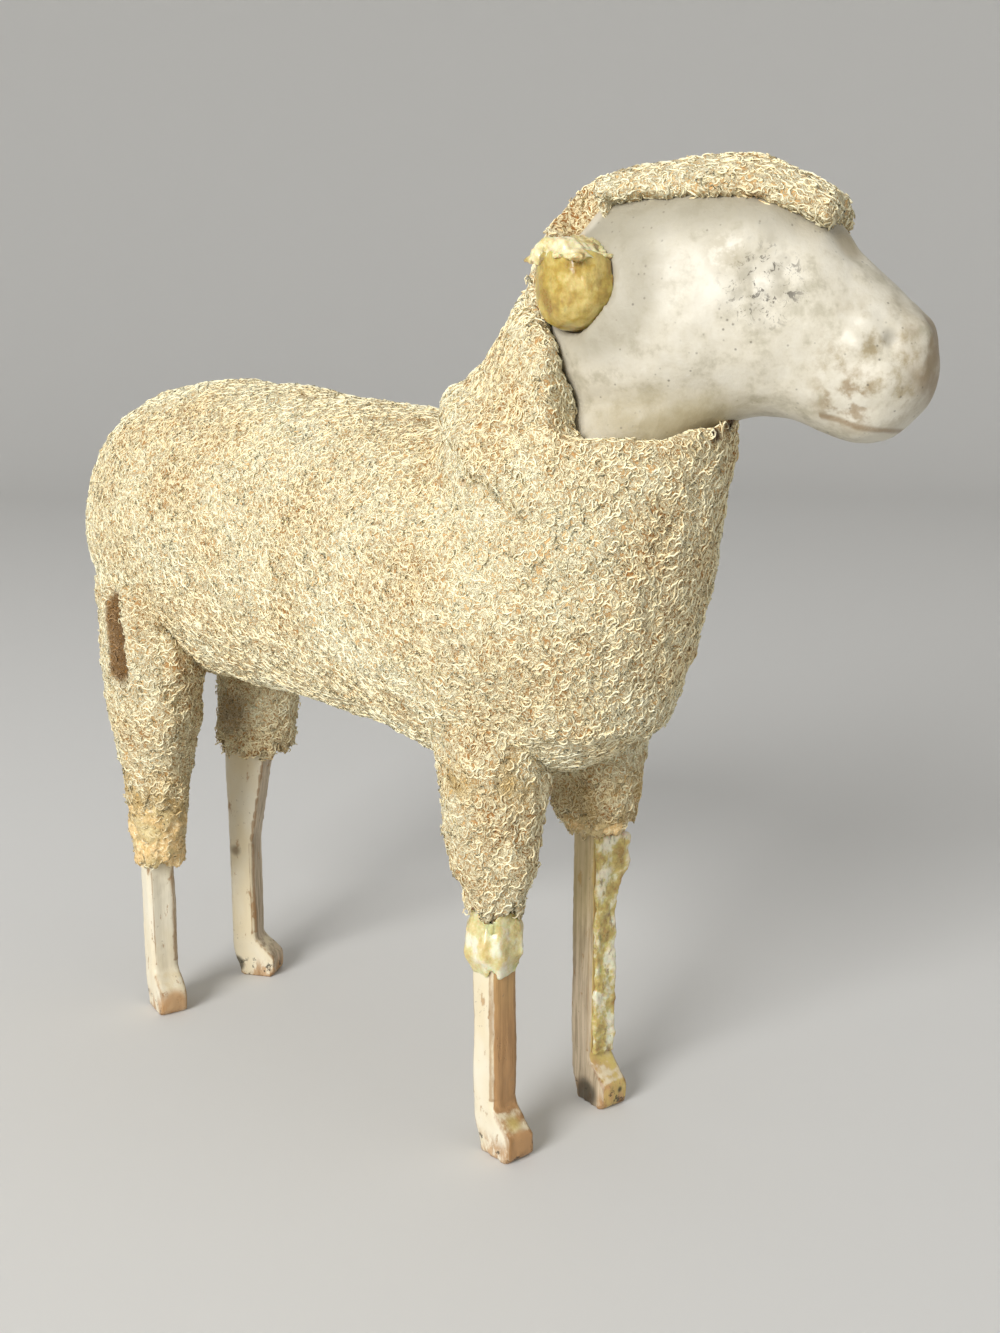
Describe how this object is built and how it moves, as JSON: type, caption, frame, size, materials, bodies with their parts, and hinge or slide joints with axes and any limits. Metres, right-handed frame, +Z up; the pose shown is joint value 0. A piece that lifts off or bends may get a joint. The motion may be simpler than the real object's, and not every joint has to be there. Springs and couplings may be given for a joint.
{
  "type": "sheep figurine",
  "caption": "Old standing sheep ornament with whittled stick legs, a turned composition head, a glued curly wool fleece and a drooping folded tail.",
  "frame": {"origin": "centre of the bounding box, at floor level under the four feet", "axes": "+X from the tail to the nose, +Y to the sheep's left, +Z up"},
  "size_m": [0.1264, 0.0342, 0.1113],
  "materials": {
    "fleece": "matted curly wool, aged cream with brown pits",
    "gesso": "off-white gesso under worn varnish, semi-gloss",
    "painted_wood": "worn white paint over brown softwood",
    "bare_wood": "bare whittled softwood",
    "dried_glue": "yellowed dried hide glue, glossy"
  },
  "bodies": {
    "root": {"body_core": "bare_wood", "ear_glue_left": "dried_glue", "ear_glue_right": "dried_glue", "ear_root_left": "fleece", "ear_root_right": "fleece", "fleece_body": "fleece", "fleece_crown": "fleece", "fleece_neck": "fleece", "fleece_sleeve_front_left": "fleece", "fleece_sleeve_front_right": "fleece", "fleece_sleeve_hind_left": "fleece", "fleece_sleeve_hind_right": "fleece", "fleece_tail": "fleece", "glue_collar_front_right": "dried_glue", "glue_cuff_front_left": "dried_glue", "glue_cuff_hind_right": "dried_glue", "glue_run_front_left": "dried_glue", "head": "gesso", "leg_front_left": "painted_wood", "leg_front_right": "painted_wood", "leg_hind_left": "painted_wood", "leg_hind_right": "painted_wood", "neck_dowel": "bare_wood"}
  },
  "joints": []
}
